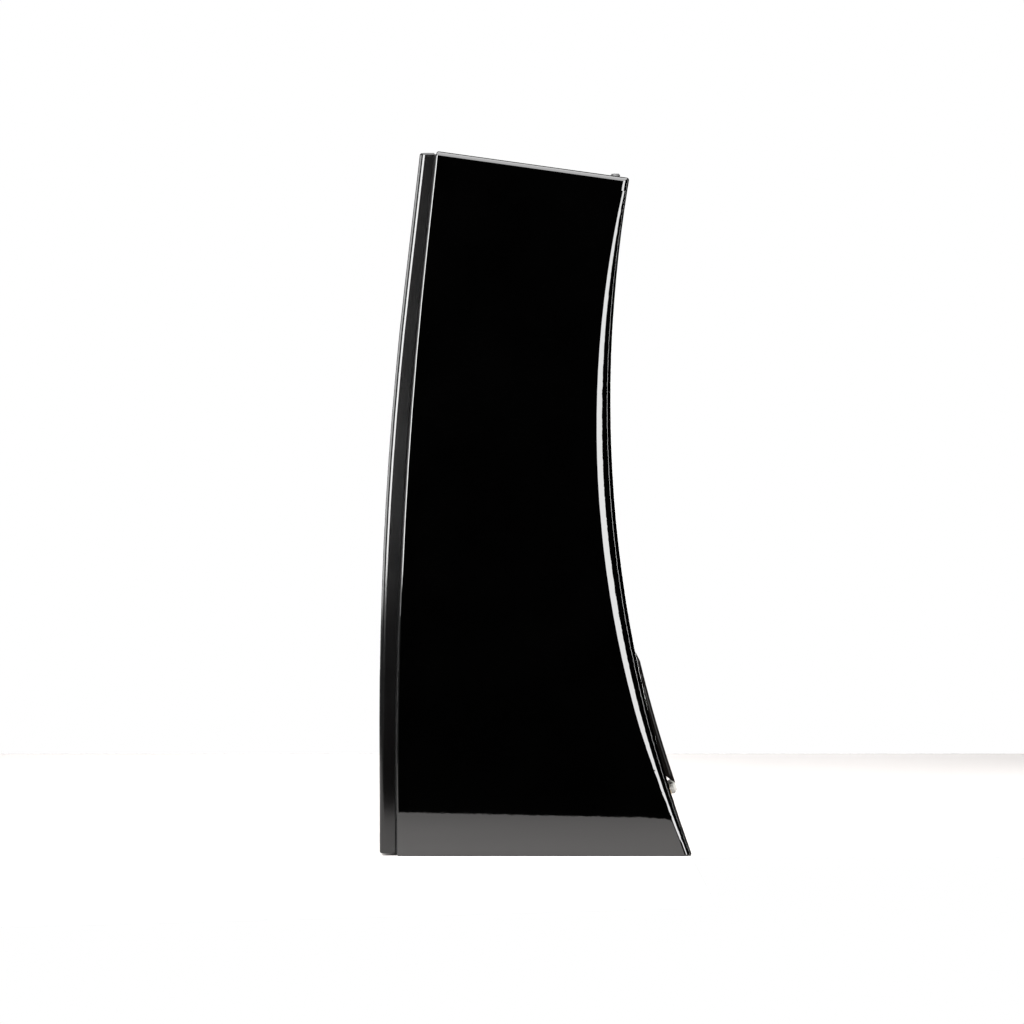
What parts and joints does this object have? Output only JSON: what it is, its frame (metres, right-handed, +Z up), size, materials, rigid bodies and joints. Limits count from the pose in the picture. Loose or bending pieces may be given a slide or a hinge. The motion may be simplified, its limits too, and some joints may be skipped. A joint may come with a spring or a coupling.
{
  "type": "floorstanding speaker",
  "caption": "Tall free-standing loudspeaker with a curved gloss cabinet, a separate satin front baffle with cone drivers and a dome, a rear port, and screw terminals under a hood.",
  "frame": {"origin": "on the floor, under the middle of the speaker's outline", "axes": "+Z up, the front with the drivers faces -Y, X is the width"},
  "size_m": [0.31, 0.5323, 1.1997],
  "materials": {
    "gloss_lacquer": "high-gloss black lacquer on fibreboard",
    "satin_black": "satin black lacquer on fibreboard",
    "raw_board": "bare fibreboard",
    "seal": "matt black foam rubber",
    "felt": "grey felt",
    "trim": "satin black anodised",
    "basket": "black die cast",
    "magnet": "ferrite",
    "steel_plate": "zinc plated",
    "surround": "matt black rubber",
    "spider": "resin dipped cloth",
    "cone": "coated black paper",
    "cap": "coated black paper",
    "coil": "copper wire on an aluminium former",
    "plug": "satin aluminium",
    "dome": "satin aluminium",
    "plastic": "black moulded plastic",
    "hood": "dark brown-black satin moulding",
    "plate": "black anodised",
    "brass": "gold plated brass",
    "knob": "pale nickel plate",
    "screw": "blackened steel",
    "insert": "zinc plated",
    "board": "green laminate",
    "copper": "enamelled copper wire",
    "capacitor": "wrapped film",
    "wire": "red sleeved cable"
  },
  "bodies": {
    "cabinet": {"baffle_gasket": "seal", "bottom_panel": "gloss_lacquer", "cabinet_braces": "raw_board", "case_screws": "screw", "crossover_board": "board", "crossover_capacitors": "capacitor", "crossover_coils": "copper", "damping_felt": "felt", "driver_screws": "screw", "foot_inserts": "insert", "front_baffle": "satin_black", "inner_baffle": "gloss_lacquer", "internal_wiring": "wire", "midrange_basket": "basket", "midrange_magnet": "magnet", "midrange_motor_plates": "steel_plate", "midrange_phase_plug": "plug", "midrange_shelf": "raw_board", "midrange_spider": "spider", "midrange_surround": "surround", "midrange_trim_ring": "trim", "port_tube": "plastic", "rear_panel": "gloss_lacquer", "side_panel_left": "gloss_lacquer", "side_panel_right": "gloss_lacquer", "terminal_hood": "hood", "terminal_plate": "plate", "terminal_studs": "brass", "top_caps": "seal", "top_panel": "gloss_lacquer", "tweeter_faceplate": "trim", "tweeter_motor": "steel_plate", "tweeter_rear_chamber": "plastic", "tweeter_surround": "surround", "woofer_high_basket": "basket", "woofer_high_magnet": "magnet", "woofer_high_motor_plates": "steel_plate", "woofer_high_spider": "spider", "woofer_high_surround": "surround", "woofer_high_trim_ring": "trim", "woofer_low_basket": "basket", "woofer_low_magnet": "magnet", "woofer_low_motor_plates": "steel_plate", "woofer_low_spider": "spider", "woofer_low_surround": "surround", "woofer_low_trim_ring": "trim"},
    "woofer_low_diaphragm": {"woofer_low_cone": "cone", "woofer_low_dust_cap": "cap", "woofer_low_voice_coil": "coil"},
    "woofer_high_diaphragm": {"woofer_high_cone": "cone", "woofer_high_dust_cap": "cap", "woofer_high_voice_coil": "coil"},
    "midrange_diaphragm": {"midrange_cone": "cone", "midrange_voice_coil": "coil"},
    "tweeter_diaphragm": {"tweeter_dome": "dome", "tweeter_voice_coil": "coil"},
    "right_washer": {"clamp_washer_1": "knob"},
    "left_washer": {"clamp_washer_2": "knob"},
    "right_knob": {"terminal_knob_1": "knob"},
    "left_knob": {"terminal_knob_2": "knob"}
  },
  "joints": [
    {"name": "woofer_low_travel", "type": "slide", "parent": "cabinet", "child": "woofer_low_diaphragm", "axis": [0, -0.9991, 0.042], "range_m": [-0.007, 0.007], "stiffness_N_per_m": 2500, "deforming": ["woofer_low_surround", "woofer_low_spider"]},
    {"name": "woofer_high_travel", "type": "slide", "parent": "cabinet", "child": "woofer_high_diaphragm", "axis": [0, -0.9969, 0.0788], "range_m": [-0.007, 0.007], "stiffness_N_per_m": 2500, "deforming": ["woofer_high_surround", "woofer_high_spider"]},
    {"name": "midrange_travel", "type": "slide", "parent": "cabinet", "child": "midrange_diaphragm", "axis": [0, -0.9937, 0.1123], "range_m": [-0.003, 0.003], "stiffness_N_per_m": 2500, "deforming": ["midrange_surround", "midrange_spider"]},
    {"name": "tweeter_travel", "type": "slide", "parent": "cabinet", "child": "tweeter_diaphragm", "axis": [0, -0.9933, 0.1153], "range_m": [-0.0004, 0.0004], "stiffness_N_per_m": 4000, "deforming": ["tweeter_surround"]},
    {"name": "right_washer_slide", "type": "slide", "parent": "cabinet", "child": "right_washer", "axis": [0, 0.9541, 0.2996], "range_m": [0, 0.003]},
    {"name": "right_knob_turn", "type": "hinge", "parent": "right_washer", "child": "right_knob", "pos_m": [0.024, 0.23925, 0.1074], "axis": [0, 0.9541, 0.2996], "range_deg": [0, 1080]},
    {"name": "left_washer_slide", "type": "slide", "parent": "cabinet", "child": "left_washer", "axis": [0, 0.9541, 0.2996], "range_m": [0, 0.003]},
    {"name": "left_knob_turn", "type": "hinge", "parent": "left_washer", "child": "left_knob", "pos_m": [-0.024, 0.23925, 0.1074], "axis": [0, 0.9541, 0.2996], "range_deg": [0, 1080]}
  ],
  "couplings": [
    {"joint": "right_knob_turn", "follows": "right_washer_slide", "rad_per_m": 6283.2},
    {"joint": "left_knob_turn", "follows": "left_washer_slide", "rad_per_m": 6283.2}
  ]
}
